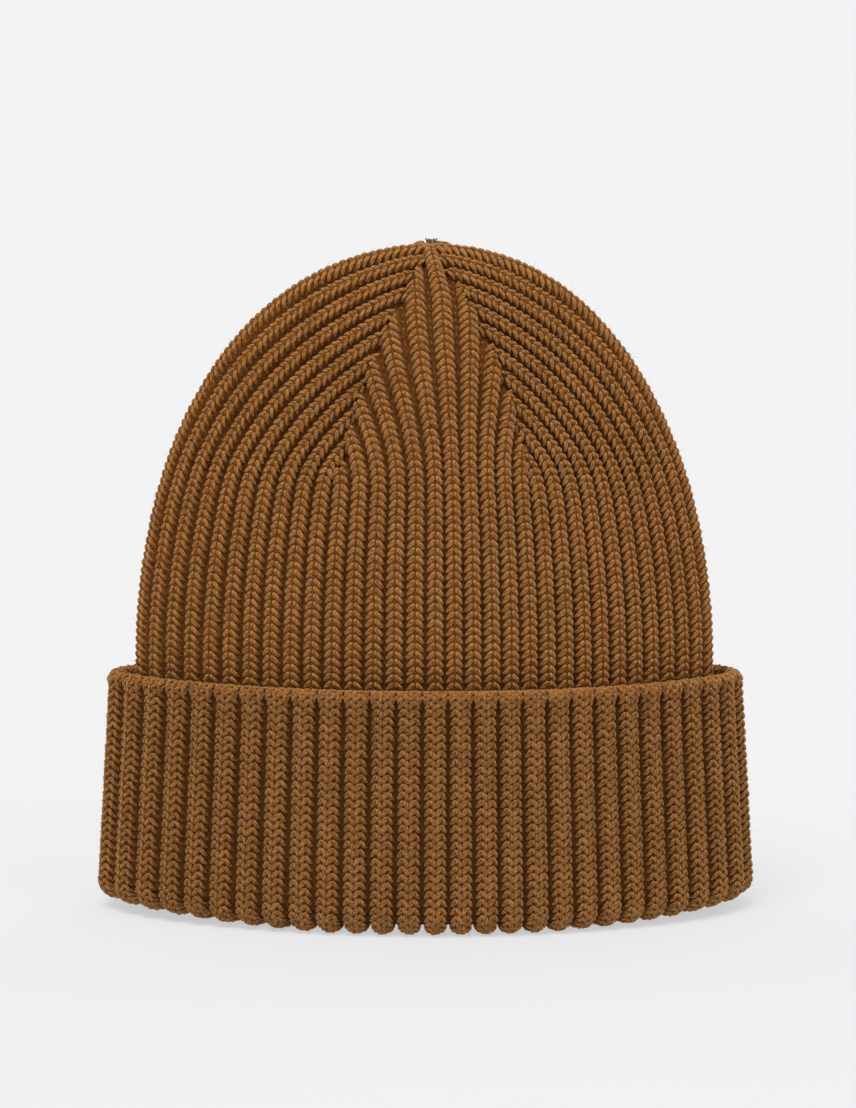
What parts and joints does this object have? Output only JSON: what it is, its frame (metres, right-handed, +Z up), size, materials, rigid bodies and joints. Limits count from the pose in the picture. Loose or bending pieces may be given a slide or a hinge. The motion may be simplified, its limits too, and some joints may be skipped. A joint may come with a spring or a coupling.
{
  "type": "cuffed rib-knit beanie",
  "caption": "Soft brown rib-knit beanie with a deep turned-up cuff, a flat-lying oval body and a crown shaped by darts that meet at a small gathered tip.",
  "frame": {"origin": "middle of the footprint, on the surface that the folded rim stands on", "axes": "+Z up towards the tip of the crown, the front of the hat faces -Y, and its width lies along X"},
  "size_m": [0.2072, 0.0988, 0.2092],
  "materials": {
    "crown_knit": "matte ribbed wool knit",
    "cuff_knit": "matte chunky ribbed wool knit",
    "joining_yarn": "matte wool yarn"
  },
  "bodies": {
    "root": {"body_tube": "crown_knit", "gore_front": "crown_knit", "gore_back": "crown_knit", "gore_left": "crown_knit", "gore_right": "crown_knit", "cuff_inner": "cuff_knit", "cuff_fold": "cuff_knit", "cuff_outer": "cuff_knit", "cast_on_edge": "cuff_knit", "linking_seam": "joining_yarn", "dart_seam_front_left": "joining_yarn", "dart_seam_front_right": "joining_yarn", "dart_seam_back_left": "joining_yarn", "dart_seam_back_right": "joining_yarn", "back_seam_crown": "joining_yarn", "back_seam_cuff": "joining_yarn", "gather_ring": "joining_yarn", "crown_knot": "joining_yarn"}
  },
  "joints": []
}
